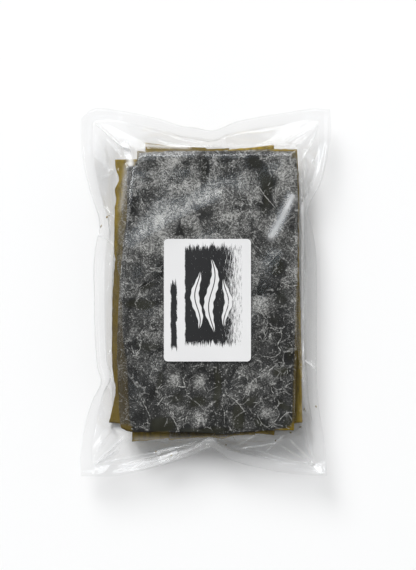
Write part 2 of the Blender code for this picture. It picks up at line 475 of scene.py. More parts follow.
def creaseFilm(bm, upper):
    # finer mesh along each crease, then a ridge that fades at its ends, and a milky value that
    # whitens the film there and paints glare, reflections and light over shade
    milkAndGlare = bm.verts.layers.float.new("milkAndGlare")
    for points, width, height, whiteningAndGlare in film["creases"]:
        steps = film["creaseSteps"]
        line = [curvePoint([Vector(p) * mm for p in points], i / steps) for i in range(steps + 1)]
        low = Vector((min(p.x for p in line), min(p.y for p in line)))
        high = Vector((max(p.x for p in line), max(p.y for p in line)))
        reach = film["creaseReach"] * width * mm

        def close():
            # the upper film's points near the crease, with how far off it and how far along it
            found = {}
            for v in bm.verts:
                x, y = v.co.x, v.co.y
                if v[upper] < 0.99 or not (low.x - reach < x < high.x + reach
                                           and low.y - reach < y < high.y + reach):
                    continue
                gap, along = nearestOnLine(v.co.xy, line)
                if gap < reach:
                    found[v] = gap, along
            return found

        nearby = close()
        edges = [e for e in bm.edges if e.verts[0] in nearby and e.verts[1] in nearby
                 and e.calc_length() > film["fineEdge"]]
        if width < film["fineCrease"]:
            bmesh.ops.subdivide_edges(bm, edges=edges, cuts=1, use_grid_fill=True)
            nearby = close()
        start, end = film["creaseEnds"]
        for v, (gap, along) in nearby.items():
            fade = ease(along / start) * ease((1 - along) / end)
            across = gap / (width * mm)
            v.co.z += height * mm * math.exp(-across**2) * fade
            # milky whitening along the crease, which also paints glare, reflections and light over
            # shade
            v[milkAndGlare] = max(v[milkAndGlare], whiteningAndGlare * math.exp(-(across / film["milkAndGlareWidth"]) ** 2) * fade)
    for v in bm.verts:
        for place, toward, slope, reach in film["curls"]:
            fromPlace = v.co.xy - Vector(place) * mm
            past, beside = fromPlace.dot(Vector(toward)), fromPlace.cross(Vector(toward))
            if 0 < past < reach * mm:
                v.co.z += slope * past * math.exp(-(beside / (0.9 * past + mm)) ** 2)


def makeFilm(material):
    columns = round(film["width"] / film["cell"] / 2) * 2
    rows = round(film["length"] / film["cell"] / 2) * 2
    bm = bmesh.new()
    weld = bm.verts.layers.float.new("weld")
    upper = bm.verts.layers.float.new("upper")
    bmesh.ops.create_grid(bm, x_segments=columns, y_segments=rows, size=0.5)
    bmesh.ops.scale(bm, verts=bm.verts, vec=(film["width"], film["length"], 1))
    lowerVerts = list(bm.verts)
    grown = bmesh.ops.extrude_face_region(bm, geom=list(bm.faces))
    upperVerts = [g for g in grown["geom"] if isinstance(g, bmesh.types.BMVert)]
    flatPlaces = {}
    for verts, isUpper in ((lowerVerts, False), (upperVerts, True)):
        for v in verts:
            v[weld] = filmShares(v.co)[1]
            v[upper] = isUpper
            flatPlaces[v] = Vector((v.co.x, v.co.y, film["bandGap"] / 2 * (1 if isUpper else -1)))
            v.co = filmPlace(v.co, isUpper)
    bmesh.ops.recalc_face_normals(bm, faces=bm.faces)
    putInOrder(bm)
    flatPlaces = [flatPlaces[v] for v in bm.verts]
    piece = newPiece("clearFilm", bm, material)
    places = settleFilm(piece, flatPlaces)
    print("pouch: film settled over the stack")
    bm = bmesh.new()
    bm.from_mesh(piece.data)
    weld, upper = bm.verts.layers.float["weld"], bm.verts.layers.float["upper"]
    # the highest of the stack's swell, looked up every five millimetres
    peak = max(swellAt(x * 0.005, y * 0.005) for x in range(-15, 16) for y in range(-23, 24))
    for v, place, flat in zip(bm.verts, places, flatPlaces):
        v.co = place
        if v[upper]:
            over = 1 - ease(filmShares(flat)[0] / film["sagReach"])
            v.co.z -= film["sag"] * kelp["swell"] * (peak - swellAt(place.x, place.y)) * over
    top = [e for e in bm.edges if e.verts[0][upper] and e.verts[1][upper]]
    bmesh.ops.subdivide_edges(bm, edges=top, cuts=1, smooth=1.0, use_grid_fill=True)
    creaseFilm(bm, upper)
    for v in bm.verts:
        v.co.z = clamp(v.co.z, film["floorGap"], pouchHigh.z)
    bmesh.ops.recalc_face_normals(bm, faces=bm.faces)
    bm.to_mesh(piece.data)
    bm.free()
    piece.data.shade_smooth()
    print("pouch: film creased,", len(piece.data.polygons), "faces")
    return piece


# The dried kelp sheets, from the top down.

kelp = {
    "thickness": 0.00115,     # of a sheet
    "pitch": 0.00180,         # from one sheet to the next
    "first": 0.0008,          # underside of the lowest sheet
    "cell": 0.0025,           # of the lower sheets' meshes
    "topCell": 0.0011,        # and of the top sheet's
    "sideSteps": 240,         # that a side is looked up in
    "ragged": 0.0004,         # how uneven the cut edges are
    "raggedLength": 0.004,    # and from one bulge of theirs to the next
    "swell": 0.0008,          # long waves, largest in the top sheet
    "crumple": 0.00045,       # short waves of the top sheets
    "rimReach": 0.0016,       # how far in from a lower sheet's edge an upper one stays thin
    "darkOver": 1.6,          # how many sheets it takes underneath before no light comes through
    "deepCrumple": 0.25,      # of it, in the sheets below the top one
    "powder": 0.433,          # how much lies on the top sheet, from 0 to 1
    "powderUp": 0.0012,       # and how much more for each millimetre towards its top
    "powderRight": -0.0002,
    "powderMiddle": 0.02,     # and how much more across its middle
    "middleReach": 45,
    "powderWaver": 2.5,       # millimetres by which the edges of its heaps waver
    "foldStep": 0.0005,       # how wide a fold's step is
    "foldEnds": (0.1, 0.15),  # the shares over which it starts and fades out
    "foldFar": 4,             # reaches from a fold where nothing is left of it
    # powder heaps (+) and bare patches (-) of the top sheet: middle, reach along and across in
    # millimetres, turn in degrees, strength
    "dusting": [
        (-16, 100, 4, 7, 0, -0.30), (-2, 97, 4, 14, 0, -0.36), (16, 99, 6, 10, 0, -0.28),
        (39, 104, 7, 7, 0, -0.40), (49, 87, 6, 15, 12, -0.42), (48, 68, 6, 8, 0, -0.34),
        (0, 66, 9, 5, 35, -0.30), (-57, 70, 4, 13, 0, -0.24), (-18, 50, 8, 4, 0, -0.26),
        (-38, 18, 5, 8, 0, -0.24), (-46, 4, 10, 3, 22, -0.32), (-51, -9, 15, 5, 0, -0.38),
        (-45, -43, 13, 5, 0, -0.26), (-64, -20, 3, 18, 0, -0.16),
        (58, 21, 6, 9, 0, -0.34), (45, 1, 8, 5, 0, -0.24), (61, -4, 5, 9, 0, -0.26),
        (56, -21, 8, 6, 0, -0.20), (61, -63, 8, 4, 0, -0.32), (68, -48, 3, 8, 0, -0.25),
        (-38, -70, 3, 10, -15, -0.22), (-24, -86, 7, 5, 0, -0.22), (-6, -88, 8, 5, 0, -0.30),
        (9, -76, 3, 20, 0, -0.32), (-34, -107, 10, 7, 0, -0.34), (0, -112, 20, 4, 0, -0.26),
        (26, -101, 6, 10, 0, -0.34), (36, -87, 6, 5, 40, -0.26), (44, -104, 5, 4, -35, -0.26),
        (63, -90, 7, 3, -35, -0.26), (68, -106, 6, 6, 0, -0.22),
        (-27, 107, 7, 7, 0, 0.24), (7, 103, 3, 8, 0, 0.20), (62, 92, 7, 12, 0, 0.10),
        (-13, 75, 4, 4, 0, 0.28), (10, 80, 5, 3, 20, 0.26), (-29, 63, 15, 6, 25, 0.22),
        (-37, 54, 5, 8, 0, 0.22), (-54, 45, 7, 7, 0, 0.18), (-44, 35, 10, 5, 0, 0.18),
        (28, 62, 11, 3, 10, 0.18), (45, 24, 6, 4, 0, 0.12), (42, -9, 6, 6, 0, 0.20),
        (-40, -20, 6, 4, 30, 0.26), (-52, -34, 7, 3, 0, 0.16), (-26, -72, 7, 5, 20, 0.38),
        (-5, -71, 5, 7, 0, 0.42), (36, -76, 6, 4, 20, 0.36), (47, -66, 6, 4, 25, 0.20),
        (-55, -87, 6, 10, 0, 0.16), (-22, -93, 6, 5, 0, 0.20), (-5, -103, 4, 7, 0, 0.26),
        (49, -97, 7, 7, 0, 0.36), (54, -81, 7, 6, 0, 0.16),
    ],
    # folds of the top sheet: points in millimetres, half the step's height and its reach
    "folds": [
        ([(-66, -0.5), (-58.5, 1), (-50.5, 5), (-43.5, 9.5), (-37, 13.5), (-33, 15)], 0.42, 5),
        ([(-33, -8), (-39, -10.5), (-49, -15), (-58, -15), (-66, -13)], 0.25, 4),
        ([(13.5, -109), (13.5, -95), (13, -80), (13.5, -68), (13.5, -58)], 0.3, 2.5),
        ([(21, -112), (27.5, -109), (35, -111)], 0.25, 2),
    ],
    # from the top down, in millimetres: the left and right sides' points upwards, and those of the
    # bottom and top between them. tone is how bright the sheet's gold is where it lies alone, which is
    # its own colour with painted light coming through it; the eighth and ninth sheets' tones are raised
    # so that they paint light over the shade that the sheets above cast on them
    "sheets": [
        {"tone": 0.5,
         "left": [(-60, -111.5), (-61.5, -85), (-63.5, -53.5), (-66.5, -36), (-67, -10.5),
                  (-68.5, -0.5), (-68, 8.5), (-65, 47), (-63, 59.5), (-59.5, 73.5), (-56.5, 83),
                  (-52, 90), (-43.5, 106), (-43, 111.5)],
         "right": [(71, -111), (73, -57.5), (73.5, -18), (74.5, 6), (74.5, 74.5), (73.5, 114)],
         "bottom": [(-30, -112.5), (-4.5, -112.5), (13, -114), (26, -112.5), (54, -111)],
         "top": [(-20, 113), (0, 113.5), (40, 113.5)]},
        {"tone": 0.35,
         "left": [(-57, -110), (-56, 0), (-55.5, 104), (-55, 114)],
         "right": [(69, -110), (70, 113.5)],
         "top": [(-50, 113.5), (-45.5, 112), (-30, 114)]},
        {"tone": 0.15,
         "left": [(-68, -109.5), (-69, -106), (-70, -89.5), (-71.5, -46.5), (-70, -6), (-66.5, 40),
                  (-63.5, 62), (-63.5, 98), (-63, 102)],
         "right": [(66, -110), (70, 104)],
         "bottom": [(-60, -112.5), (-30, -112)],
         "top": [(-55.5, 101.5), (0, 103)]},
        {"tone": 0.75,
         "left": [(-55, -108), (-54.5, 113)],
         "right": [(70, -108), (73.5, 0), (75.5, 60), (75, 90), (73.5, 115.5)],
         "top": [(20, 114.5), (55.5, 115.5)]},
        {"tone": 0.8,
         "left": [(-56, -106), (-55, 113)],
         "right": [(78, -105), (77.5, -75), (78, -58.5), (77, -35.5), (76.5, -10), (75.5, 11),
                   (75, 54.5), (74, 108)],
         "bottom": [(71.5, -105.5)]},
        {"tone": 1.0,
         "left": [(12, -104), (14, 114.5)],
         "right": [(50, -104), (53, 60), (55, 119)],
         "top": [(21, 115.5), (38, 117)]},
        {"tone": 0.45,
         "left": [(-46, -100), (-47, 60), (-49, 121)],
         "right": [(22, -100), (20.5, 60), (19, 116.5)],
         "top": [(-37.5, 119.5), (-22, 117.5), (-0.5, 117), (1, 116)]},
        {"tone": 1.0,
         "left": [(-59.5, -120.5), (-58, 0), (-57, 106)],
         "right": [(40, -115), (42, 108)],
         "bottom": [(-45, -119.5), (-30.5, -118), (0, -117)]},
        {"tone": 0.9,
         "left": [(-30, -119.5), (-32, 106)],
         "right": [(55.5, -115.5), (56, -111.5), (54, 108)],
         "bottom": [(2.5, -117), (14, -118.5), (21.5, -116), (36, -114)]},
        {"tone": 0.7,
         "left": [(-62, -106), (-66, -30), (-69, -4), (-70.5, 14), (-74, 32.5), (-73.5, 69),
                  (-72.5, 76), (-73.5, 83), (-70.5, 90), (-70.5, 94.5), (-72.5, 98), (-73.5, 107.5)],
         "right": [(64, -108), (62, 110)],
         "top": [(-67.5, 107.5), (0, 109)]},
        {"tone": 0.4,
         "left": [(-58, -104), (-62, 104)],
         "right": [(70, -106), (68, 106)]},
        {"tone": 0.35,
         "left": [(-78.5, -105.5), (-75.5, -93), (-73, -78.5), (-74.5, -70.5), (-76, -54.5),
                  (-75.5, -6), (-74, 20), (-70, 60), (-66, 102)],
         "right": [(60, -112), (64, 108)],
         "bottom": [(-69.5, -106.5), (-20, -110)]},
        {"tone": 0.4,
         "left": [(-61, -106), (-59, 102)],
         "right": [(66, -102), (71, 106)]},
    ],
}


def sheetSide(points):
    # a side of a sheet, as a function of its share from 0 to 1, with a ragged cut
    steps = kelp["sideSteps"]
    table = []
    for i in range(steps + 1):
        place = curvePoint([Vector(p) * mm for p in points], i / steps)
        here = Vector((place.x / kelp["raggedLength"], place.y / kelp["raggedLength"], 1.7))
        wobble = noise.noise_vector(here) + 0.6 * noise.noise_vector(here * 3.1)
        table.append(place + Vector((wobble.x, wobble.y)) * kelp["ragged"])

    def at(t):
        place = clamp(t) * steps
        i = min(int(place), steps - 1)
        return table[i].lerp(table[i + 1], place - i)

    return at


def outlineOf(sides):
    # corner-to-corner loop of a sheet, for finding which sheets lie under a point
    left, right, bottom, top = sides
    count = 26
    shares = [i / count for i in range(count)]
    loop = [bottom(t) for t in shares] + [right(t) for t in shares]
    loop += [top(1 - t) for t in shares] + [left(1 - t) for t in shares]
    return np.array(loop)


def depthInside(places, loop):
    # distance in from a loop's edge, negative outside
    ends = np.roll(loop, -1, axis=0)
    run = ends - loop
    lengths = np.maximum((run**2).sum(1), 1e-12)
    nearest = np.full(len(places), 1e9)
    inside = np.zeros(len(places), bool)
    for start, end, step, length in zip(loop, ends, run, lengths):
        offset = places - start
        share = np.clip(offset @ step / length, 0, 1)
        nearest = np.minimum(nearest, ((offset - share[:, None] * step) ** 2).sum(1))
        if step[1] != 0:
            crosses = (places[:, 1] < start[1]) != (places[:, 1] < end[1])
            at = start[0] + (places[:, 1] - start[1]) / step[1] * step[0]
            inside ^= crosses & (places[:, 0] < at)
    return np.where(inside, 1, -1) * np.sqrt(nearest)


def swellAt(x, y):
    longWave = noise.noise(Vector((x / 0.036, y / 0.05, 4.2)))
    return longWave + 0.4 * noise.noise(Vector((x / 0.017, y / 0.024, 9.1)))


def crumpleAt(x, y):
    ridge = 1 - abs(2 * noise.noise(Vector((x / 0.011, y / 0.015, 2.5)))) * 1.6
    fine = noise.noise(Vector((x / 0.0045, y / 0.007, 6.5)))
    return 0.7 * ridge + 0.45 * fine - 0.35


def dustingAt(places):
    # how much powder lies there: more towards the top left, and the heaps and bare patches by name
    x, y = places[:, 0] / mm, places[:, 1] / mm
    wave = np.array([noise.noise_vector(Vector((p[0] / 0.012, p[1] / 0.012, 3.3)))[:2] for p in places])
    x, y = x + kelp["powderWaver"] * wave[:, 0], y + kelp["powderWaver"] * wave[:, 1]
    amount = kelp["powder"] + kelp["powderUp"] * y + kelp["powderRight"] * x
    amount += kelp["powderMiddle"] * np.exp(-(y / kelp["middleReach"]) ** 2)
    for middleX, middleY, reachX, reachY, turn, strength in kelp["dusting"]:
        c, s = math.cos(math.radians(turn)), math.sin(math.radians(turn))
        along = ((x - middleX) * c + (y - middleY) * s) / reachX
        across = ((y - middleY) * c - (x - middleX) * s) / reachY
        edge = 2.4 if strength < -0.3 else 1.5    # the barest patches have the crispest edges
        amount += strength * np.exp(-(along**2 + across**2) ** edge)
    return np.clip(amount, 0, 1)


def foldAt(place):
    # steps where the top sheet is folded: up on the left of each line, down on its right
    lift = 0
    for points, height, reach in kelp["folds"]:
        line = [Vector(p) * mm for p in points]
        if not (min(p.x for p in line) < place.x < max(p.x for p in line)
                or min(p.y for p in line) < place.y < max(p.y for p in line)):
            continue
        gap, along = nearestOnLine(place, line)
        if gap > kelp["foldFar"] * reach * mm:
            continue
        i = min(int(along * (len(line) - 1)), len(line) - 2)
        run, out = line[i + 1] - line[i], place - line[i]
        side = 1 if run.x * out.y - run.y * out.x > 0 else -1
        start, end = kelp["foldEnds"]
        ends = ease(along / start) * ease((1 - along) / end)
        step = clamp(gap / kelp["foldStep"]) * math.exp(-gap / (reach * mm))
        lift += side * height * mm * step * ends
    return lift


def makeSheet(number, sheet, lower, material):
    # lower holds the outlines of the sheets under this one
    sides = [sheetSide(points) for points in sidesOf(sheet)]
    level = len(kelp["sheets"]) - 1 - number
    share = level / (len(kelp["sheets"]) - 1)
    cell = kelp["topCell"] if number == 0 else kelp["cell"]
    size = (sides[1](0.5) - sides[0](0.5)).length, (sides[3](0.5) - sides[2](0.5)).length
    bm = bmesh.new()
    columns, rows = round(size[0] / cell), round(size[1] / cell)
    bmesh.ops.create_grid(bm, x_segments=columns, y_segments=rows, size=0.5)
    underside = list(bm.verts)
    for v in underside:
        place = patchPoint(sides, v.co.x + 0.5, v.co.y + 0.5)
        v.co = Vector((place.x, place.y, 0))
    grown = bmesh.ops.extrude_face_region(bm, geom=list(bm.faces))
    topside = [g for g in grown["geom"] if isinstance(g, bmesh.types.BMVert)]
    base = kelp["first"] + level * kelp["pitch"]
    crumple = kelp["crumple"] * (1 if number == 0 else kelp["deepCrumple"])
    for verts, isTop in ((underside, False), (topside, True)):
        for v in verts:
            x, y = v.co.x, v.co.y
            lift = kelp["swell"] * share * swellAt(x, y) + crumple * crumpleAt(x, y)
            if number == 0:
                lift += foldAt(v.co.xy)
            v.co.z = base + lift + (kelp["thickness"] if isTop else 0)
    bmesh.ops.recalc_face_normals(bm, faces=bm.faces)
    putInOrder(bm)
    plan = np.array([v.co.xy for v in bm.verts])
    covered = np.zeros(len(plan))
    for loop in lower:
        covered += np.clip(depthInside(plan, loop) / kelp["rimReach"], 0, 1)
    piece = newPiece(f"kelpSheet{number + 1:02}", bm, material)
    # thin parts take the painted light coming through them in the material
    giveValues(piece, "thin", np.clip(1 - covered / kelp["darkOver"], 0, 1))
    giveValues(piece, "tone", sheet["tone"])
    giveValues(piece, "dusting", dustingAt(plan))
    return piece, outlineOf(sides)


def makeStack(material):
    sheets, loops = [], []
    for number in reversed(range(len(kelp["sheets"]))):
        piece, loop = makeSheet(number, kelp["sheets"][number], loops, material)
        sheets.append(piece)
        loops.append(loop)
    print("pouch: stacked", len(sheets), "sheets")
    return sheets


# Ridges of salt where the top sheet has cracked.

veins = {
    "height": 0.00014,
    "sunk": 0.00003,          # how deep they sit in the sheet
    "step": 0.0006,           # from one bead to the next
    "stray": 0.0003,          # how far beads stand off the line
    "beads": (0.35, 1.6),     # from the thinnest to the thickest, as a share of the line's own width
    "taper": 0.6,             # the less, the later a line thins towards its ends
    "crust": (0.3, 1.0),      # how white the thinnest and the thickest beads are
    "scattered": 150,         # short ones
    "across": (-62, 72),      # where those lie, in millimetres
    "upward": (-112, 112),
    "foot": -60,              # most lie below this, or right of the next
    "rightSide": 42,
    "elsewhere": 0.45,        # the share that is kept outside those
    "stride": (1.5, 4),       # their length from one turn to the next, in millimetres
    "thin": (0.18, 0.36),     # their half-width
    # the longest ones: half-width in millimetres, then the line's points
    "main": [
        (0.4, [(-28, 90), (-22, 86), (-14, 75), (-10, 70)]),
        (0.35, [(12, 80), (16, 76), (19, 72)]),
        (0.35, [(42, 86), (49, 76), (57, 67)]),
        (0.4, [(-52, 70), (-47, 63), (-41, 61), (-37, 55), (-38, 48)]),
        (0.35, [(6, 60), (15, 62), (22, 62), (33, 66)]),
        (0.35, [(24, 103), (27, 108), (30, 112)]),
        (0.25, [(-68, 0), (-58, 1), (-50, 5), (-37, 13)]),
        (0.35, [(48, 21), (52, 25), (61, 35)]),
        (0.45, [(60, 5), (61, 8), (68, 5), (74, 6)]),
        (0.35, [(46, -28), (47, -33), (49, -37)]),
        (0.35, [(60, -28), (61, -36), (58, -42), (60, -48), (54, -52), (44, -51)]),
        (0.35, [(58, -57), (48, -65), (39, -70), (36, -74), (32, -82), (29, -87)]),
        (0.5, [(33, -78), (36, -73), (43, -78)]),
        (0.4, [(38, -79), (41, -74), (40, -69)]),
        (0.4, [(16, -78), (17, -82), (23, -86), (32, -96)]),
        (0.45, [(21, -91), (25, -87), (27, -86)]),
        (0.3, [(14, -83), (13, -89), (15, -97), (15, -106)]),
        (0.3, [(47, -90), (42, -99), (49, -108), (59, -99), (56, -91)]),
        (0.35, [(59, -103), (65, -97), (70, -96)]),
        (0.4, [(-52, -85), (-47, -95), (-44, -102)]),
        (0.4, [(-39, -91), (-34, -84)]),
        (0.4, [(-32, -95), (-26, -102), (-21, -113)]),
        (0.5, [(-24, -75), (-17, -76), (-18, -70), (-16, -66)]),
        (0.5, [(-8, -70), (-5, -73), (-2, -75)]),
        (0.4, [(-4, -68), (-3, -74), (0, -79)]),
    ],
}


def scatteredVeins():
    # short crooked ones, most of them towards the foot of the sheet and along its right side
    chance = random.Random(23)
    lines = []
    while len(lines) < veins["scattered"]:
        here = Vector((chance.uniform(*veins["across"]), chance.uniform(*veins["upward"])))
        likely = 1 if here.y < veins["foot"] or here.x > veins["rightSide"] else veins["elsewhere"]
        if chance.random() > likely:
            continue
        points, heading = [here], chance.uniform(0, math.tau)
        for _ in range(chance.choice((1, 1, 2))):
            stride = chance.uniform(*veins["stride"])
            here = here + Vector((math.cos(heading), math.sin(heading))) * stride
            points.append(here)
            heading += chance.choice((-1, 1)) * chance.uniform(0.2, 1.0)
        lines.append((chance.uniform(*veins["thin"]), points))
    return lines


def makeVeins(topSheet, material):
    tree = BVHTree.FromObject(topSheet, bpy.context.evaluated_depsgraph_get())
    chance = random.Random(5)
    lines = veins["main"] + scatteredVeins()
    bm = bmesh.new()
    crust = bm.verts.layers.float.new("crust")
    for width, points in lines:
        line = [Vector(p) * mm for p in points]
        length = sum((b - a).length for a, b in zip(line, line[1:]))
        steps = max(4, round(length / veins["step"]))
        rings = []
        for i in range(steps + 1):
            t = i / steps
            ahead = curvePoint(line, t + 0.01) - curvePoint(line, t - 0.01)
            side = Vector((-ahead.y, ahead.x)).normalized()
            here = curvePoint(line, t) + side * chance.uniform(-1, 1) * veins["stray"]
            bead = chance.random()
            thinner = math.sin(math.pi * mix(0.1, 0.9, t)) ** veins["taper"]
            half = width * mm * mix(*veins["beads"], bead) * thinner
            ring = []
            for across, rise in ((-1, 0), (1, 0), (0, 1)):
                place = here + side * half * across
                hit = dropOnto(tree, place.x, place.y)
                if hit is None:
                    break
                ring.append((place.x, place.y, hit.z - veins["sunk"] + rise * veins["height"]))
            if len(ring) < 3:
                break
            ring = [bm.verts.new(place) for place in ring]
            for v in ring:
                v[crust] = mix(*veins["crust"], bead)
            rings.append(ring)
        if len(rings) < 2:
            bmesh.ops.delete(bm, geom=[v for ring in rings for v in ring], context="VERTS")
            continue
        for a, b in zip(rings, rings[1:]):
            for i in range(3):
                j = (i + 1) % 3
                bm.faces.new((a[i], a[j], b[j], b[i]))
        bm.faces.new(rings[0][::-1])
        bm.faces.new(rings[-1])
    bmesh.ops.recalc_face_normals(bm, faces=bm.faces)
    piece = newPiece("kelpVeins", bm, material)
    print("pouch: drew", len(lines), "ridges of salt")
    return piece


# The paper label, laid over the film.

label = {
    "thickness": 0.00014,
    "lift": 0.00008,          # off the film
    "corner": 0.0032,
    "cornerSteps": 8,
    "cell": 0.005,
    "sharpFrom": 40,          # degrees
}


def makeLabel(filmPiece, material):
    middle = (labelLow + labelHigh) / 2
    size = labelHigh - labelLow
    bm = bmesh.new()
    bmesh.ops.create_grid(bm, x_segments=1, y_segments=1, size=0.5)
    bmesh.ops.scale(bm, verts=bm.verts, vec=(size.x, size.y, 1))
    bmesh.ops.bevel(bm, geom=bm.verts, offset=label["corner"], segments=label["cornerSteps"],
                    profile=0.5, affect="VERTICES", material=-1)
    for axis, extent in ((Vector((1, 0, 0)), size.x), (Vector((0, 1, 0)), size.y)):
        for i in range(1, round(extent / label["cell"])):
            cut = axis * (i * label["cell"] - extent / 2)
            bmesh.ops.bisect_plane(bm, geom=bm.verts[:] + bm.edges[:] + bm.faces[:], dist=1e-6,
                                   plane_co=cut, plane_no=axis)
    bmesh.ops.translate(bm, verts=bm.verts, vec=(middle.x, middle.y, 0))
    tree = BVHTree.FromObject(filmPiece, bpy.context.evaluated_depsgraph_get())
    lower = list(bm.verts)
    for v in lower:
        v.co.z = dropOnto(tree, v.co.x, v.co.y).z + label["lift"]
    grown = bmesh.ops.extrude_face_region(bm, geom=list(bm.faces))
    upper = [g for g in grown["geom"] if isinstance(g, bmesh.types.BMVert)]
    bmesh.ops.translate(bm, verts=upper, vec=(0, 0, label["thickness"]))
    bmesh.ops.recalc_face_normals(bm, faces=bm.faces)
    putInOrder(bm)
    piece = newPiece("paperLabel", bm, material)
    piece.data.set_sharp_from_angle(angle=math.radians(label["sharpFrom"]))
    return piece


# Loose flakes that broke off the sheets.

crumbs = {
    "count": 26,
    "size": (0.0006, 0.0021),
    "long": (0.7, 1.9),       # shares of the size, from here down to the rise
    "wide": (0.5, 1.0),
    "flat": 0.35,
    "uneven": 0.09,
    "rise": 0.4,              # off the film
    "tone": 0.7,              # how bright their gold is: painted light coming through them, over their own colour
    # heaps where they gather, in millimetres, with the spread
    "heaps": [((81.5, -92), 3), ((16.3, -120.3), 4), ((-30, -124), 9), ((70, -118), 7), ((-82, 60), 4)],
}


def makeCrumbs(filmPiece, material):
    pick = random.Random(11)
    tree = BVHTree.FromObject(filmPiece, bpy.context.evaluated_depsgraph_get())
    bm = bmesh.new()
    for number in range(crumbs["count"]):
        middle, spread = crumbs["heaps"][number % len(crumbs["heaps"])]
        size = pick.uniform(*crumbs["size"])
        at = Vector(middle) * mm + Vector((pick.gauss(0, spread), pick.gauss(0, spread))) * mm
        hit = tree.ray_cast(Vector((at.x, at.y, -0.01)), Vector((0, 0, 1)))[0]
        if not hit:
            continue
        made = bmesh.ops.create_icosphere(bm, subdivisions=1, radius=size / 2)["verts"]
        stretch = (pick.uniform(*crumbs["long"]), pick.uniform(*crumbs["wide"]), crumbs["flat"])
        bmesh.ops.scale(bm, verts=made, vec=stretch)
        for v in made:
            v.co += Vector([pick.gauss(0, crumbs["uneven"] * size) for _ in range(3)])
        turn = Matrix.Rotation(math.radians(pick.uniform(0, 360)), 3, "Z")
        bmesh.ops.rotate(bm, verts=made, matrix=turn, cent=(0, 0, 0))
        bmesh.ops.translate(bm, verts=made, vec=hit + Vector((0, 0, crumbs["rise"] * size)))
    piece = newPiece("kelpCrumbs", bm, material)
    # thin all over, so they are painted as lit through
    giveValues(piece, "thin", 1.0)
    giveValues(piece, "tone", crumbs["tone"])
    return piece


# Materials.

kelpFinish = {
    "ground": (0.006, 0.006, 0.0055, 1),       # under the bloom
    "olive": (0.020, 0.020, 0.011, 1),        # bare, smooth patches and folds
    "goldLitThroughDark": (0.075, 0.048, 0.005, 1),     # thin, where it lies alone: its own colour with painted light coming through it
    "goldLitThroughBright": (0.33, 0.225, 0.010, 1),
    "bloom": (0.56, 0.56, 0.54, 1),           # the white powder on dried kelp
    "roughness": 0.5,
}


bloomLook = {
    "warp": 75,               # how finely the powder's shapes are drawn out, to the metre
    "plates": 85,             # cells to the metre, here and below
    "needles": 950,
    "salt": 620,
    "clumps": 190,
    # cracked lines: cells, width in the share of a cell, size of the patches that have them, and
    # how high that patches' noise has to be
    "cracks": [(36, 0.022, 130, 0.52, 0.58), (88, 0.045, 150, 0.54, 0.60)],
    "plateShare": 0.34,       # by how much the amount differs from plate to plate
    "clumpShare": 0.55,       # and from clump to clump
    "veil": 0.30,             # how white the finest powder is where it lies thickest
    "grains": 0.45,           # how white a single grain of salt is
}


def bloomGroup():
    # the white powder that kelp sweats out: plates of needles that lie in different directions,
    # single grains of salt, and cracked lines
    tree, given, gives = newGroup("kelpBloom", [("Vector", "Vector", None), ("Amount", "Float", 0.5)],
                                  ["Bloom", "Line", "Height"])
    place = given["Vector"]
    drift = noiseAt(tree, place, bloomLook["warp"], 2, 0.6)["Color"]
    shift = vectorCalc(tree, "SUBTRACT", drift, (0.5, 0.5, 0.5))

    def warpedBy(size):
        return vectorCalc(tree, "ADD", place, vectorCalc(tree, "SCALE", shift, size))

    def chanceOf(cells):
        return addNode(tree, "ShaderNodeSeparateColor", {"Color": cells["Color"]}).outputs

    plate = chanceOf(cellsAt(tree, warpedBy(0.02), bloomLook["plates"]))
    turned = addNode(tree, "ShaderNodeVectorRotate", {
        "Vector": warpedBy(0.012), "Angle": calc(tree, "MULTIPLY", plate[1], math.pi)},
        rotation_type="Z_AXIS").outputs[0]
    grain = noiseAt(tree, stretched(tree, turned, (1, 0.6, 1)), bloomLook["needles"], 4, 0.8)["Fac"]
    salt = cellsAt(tree, place, bloomLook["salt"])
    drawn = stretched(tree, warpedBy(0.01), (1.5, 0.5, 1), 0.45)
    clump = noiseAt(tree, drawn, bloomLook["clumps"], 4, 0.65)["Fac"]
    density = calc(tree, "MULTIPLY_ADD", calc(tree, "SUBTRACT", plate[0], 0.5), bloomLook["plateShare"],
                   given["Amount"])
    density = calc(tree, "MULTIPLY_ADD", calc(tree, "SUBTRACT", clump, 0.5), bloomLook["clumpShare"],
                   density)
    density = addNode(tree, "ShaderNodeClamp", {0: density}).outputs[0]
    veil = calc(tree, "MULTIPLY", calc(tree, "POWER", density, 2.0), bloomLook["veil"])
    level = calc(tree, "MULTIPLY_ADD", density, 0.22, grain)
    specks = calc(tree, "MULTIPLY", ramp(tree, level, 0.60, 0.71),
                  calc(tree, "MULTIPLY_ADD", density, 0.8, 0.05))
    chosen = calc(tree, "SUBTRACT", calc(tree, "MULTIPLY", density, 0.55), chanceOf(salt)[0])
    grains = calc(tree, "MULTIPLY", ramp(tree, salt["Distance"], 0.42, 0.18),
                  ramp(tree, chosen, -0.1, 0.05))
    bloom = calc(tree, "MULTIPLY_ADD", grains, bloomLook["grains"], calc(tree, "ADD", veil, specks))

    def cracksAt(scale, width, patches, low, high):
        # only where a noise with its own size of patches is high enough
        cracks = cellsAt(tree, warpedBy(0.006), scale, "DISTANCE_TO_EDGE")
        some = ramp(tree, noiseAt(tree, place, patches, 1)["Fac"], low, high)
        return calc(tree, "MULTIPLY", ramp(tree, cracks["Distance"], width, width * 0.2), some)

    line = calc(tree, "MAXIMUM", *[cracksAt(*values) for values in bloomLook["cracks"]])
    line = calc(tree, "MULTIPLY", line, ramp(tree, grain, 0.4, 0.6, 0.1, 0.8))
    tree.links.new(bloom, gives["Bloom"])
    tree.links.new(line, gives["Line"])
    height = calc(tree, "ADD", calc(tree, "MULTIPLY", bloom, 0.5), line)
    tree.links.new(height, gives["Height"])
    return tree


